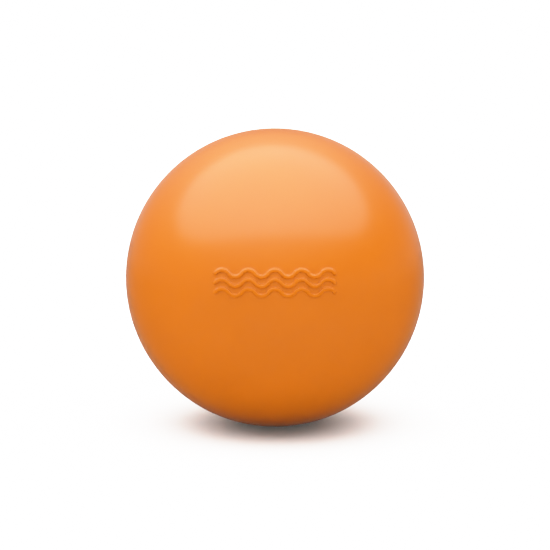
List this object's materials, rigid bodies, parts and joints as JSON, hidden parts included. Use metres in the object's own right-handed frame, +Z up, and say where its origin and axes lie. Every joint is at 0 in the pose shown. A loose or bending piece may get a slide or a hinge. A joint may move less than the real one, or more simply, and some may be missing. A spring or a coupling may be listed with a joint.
{
  "type": "massage ball",
  "caption": "Smooth hand-sized massage ball: a two-part elastomer shell with a raised wave mark, part filled with loose granulate and closed by a flush plug.",
  "frame": {"origin": "centre of the ball", "axes": "+Z up, -Y towards the raised mark on the front half shell, +Y along the filling plug, with the seam between the half shells in the XZ plane"},
  "size_m": [0.065, 0.0653, 0.065],
  "materials": {
    "shell": "satin",
    "plug": "satin",
    "granulate": "matte"
  },
  "bodies": {
    "shell": {"front_half_shell": "shell", "rear_half_shell": "shell"},
    "plug": {"fill_plug": "plug"},
    "granulate": {"filling": "granulate"}
  },
  "joints": [
    {"name": "plug_pull", "type": "slide", "parent": "shell", "child": "plug", "axis": [0, 1, 0], "range_m": [0, 0.012]},
    {"name": "filling_roll", "type": "hinge", "parent": "shell", "child": "granulate", "pos_m": [0, 0, 0], "axis": [1, 0, 0], "continuous": true}
  ]
}
